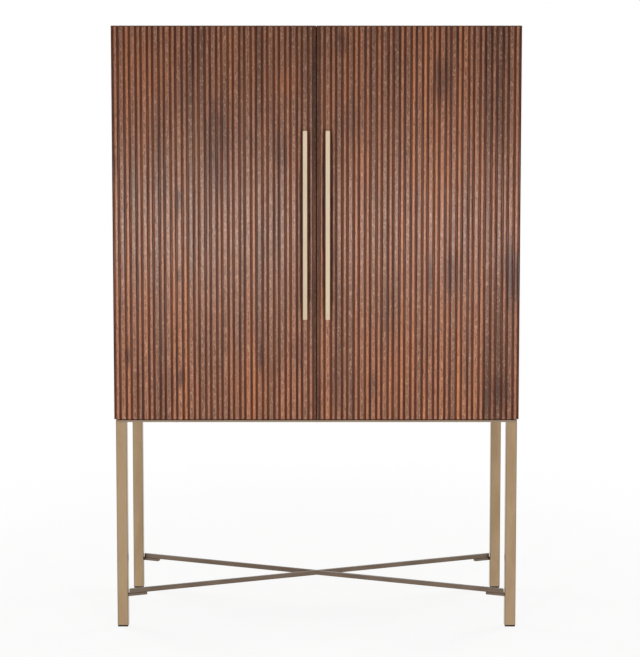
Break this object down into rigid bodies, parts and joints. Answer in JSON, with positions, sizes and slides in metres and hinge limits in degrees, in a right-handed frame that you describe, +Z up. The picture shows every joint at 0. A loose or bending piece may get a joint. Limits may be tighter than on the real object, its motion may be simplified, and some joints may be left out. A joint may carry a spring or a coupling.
{
  "type": "bar cabinet",
  "caption": "Tall bar cabinet with reeded wooden double doors and long bar handles, on a brassy square-tube stand with a crossed brace; shelves and bottle rests inside.",
  "frame": {"origin": "on the floor under the middle of the whole cabinet, handles included", "axes": "+Z up, +Y from the doors to the back, +X to the right as seen from the front"},
  "size_m": [0.94, 0.435, 1.4],
  "materials": {
    "door_wood": "satin stained",
    "case_wood": "satin stained",
    "inside_wood": "satin stained",
    "back_wood": "matte stained",
    "handle_brass": "brushed",
    "hinge_brass": "satin",
    "pin_brass": "satin",
    "stand_metal": "antique brass",
    "glide_plastic": "matte",
    "catch_plastic": "matte",
    "fitting_steel": "zinc",
    "bumper_rubber": "matte"
  },
  "bodies": {
    "case": {"adjustable_shelf": "inside_wood", "back_panel": "back_wood", "bottle_rest_lower_front": "inside_wood", "bottle_rest_lower_rear": "inside_wood", "bottle_rest_upper_front": "inside_wood", "bottle_rest_upper_rear": "inside_wood", "bottom_panel": "case_wood", "brace_bar_a": "stand_metal", "brace_bar_b": "stand_metal", "brace_tab_front_left": "stand_metal", "brace_tab_front_right": "stand_metal", "brace_tab_rear_left": "stand_metal", "brace_tab_rear_right": "stand_metal", "centre_divider": "inside_wood", "door_bumpers": "bumper_rubber", "door_catch": "catch_plastic", "fixed_shelf": "inside_wood", "frame_rail_front": "stand_metal", "frame_rail_left": "stand_metal", "frame_rail_rear": "stand_metal", "frame_rail_right": "stand_metal", "glide_front_left": "glide_plastic", "glide_front_right": "glide_plastic", "glide_rear_left": "glide_plastic", "glide_rear_right": "glide_plastic", "hinge_case_leaf_lower_left": "hinge_brass", "hinge_case_leaf_lower_right": "hinge_brass", "hinge_case_leaf_upper_left": "hinge_brass", "hinge_case_leaf_upper_right": "hinge_brass", "hinge_pin_lower_left": "hinge_brass", "hinge_pin_lower_right": "hinge_brass", "hinge_pin_upper_left": "hinge_brass", "hinge_pin_upper_right": "hinge_brass", "leg_front_left": "stand_metal", "leg_front_right": "stand_metal", "leg_rear_left": "stand_metal", "leg_rear_right": "stand_metal", "shelf_pins": "pin_brass", "side_panel_left": "case_wood", "side_panel_right": "case_wood", "stemware_rail_1": "inside_wood", "stemware_rail_2": "inside_wood", "stemware_rail_3": "inside_wood", "stemware_rail_4": "inside_wood", "top_panel": "case_wood"},
    "left_door": {"door_left": "door_wood", "handle_left": "handle_brass", "hinge_door_leaf_lower_left": "hinge_brass", "hinge_door_leaf_upper_left": "hinge_brass", "strike_plate_left": "fitting_steel"},
    "right_door": {"door_right": "door_wood", "handle_right": "handle_brass", "hinge_door_leaf_lower_right": "hinge_brass", "hinge_door_leaf_upper_right": "hinge_brass", "strike_plate_right": "fitting_steel"}
  },
  "joints": [
    {"name": "left_door_hinge", "type": "hinge", "parent": "case", "child": "left_door", "pos_m": [-0.4668, -0.15675, 0.946], "axis": [0, 0, -1], "range_deg": [0, 110]},
    {"name": "right_door_hinge", "type": "hinge", "parent": "case", "child": "right_door", "pos_m": [0.4668, -0.15675, 0.946], "axis": [0, 0, 1], "range_deg": [0, 110]}
  ]
}
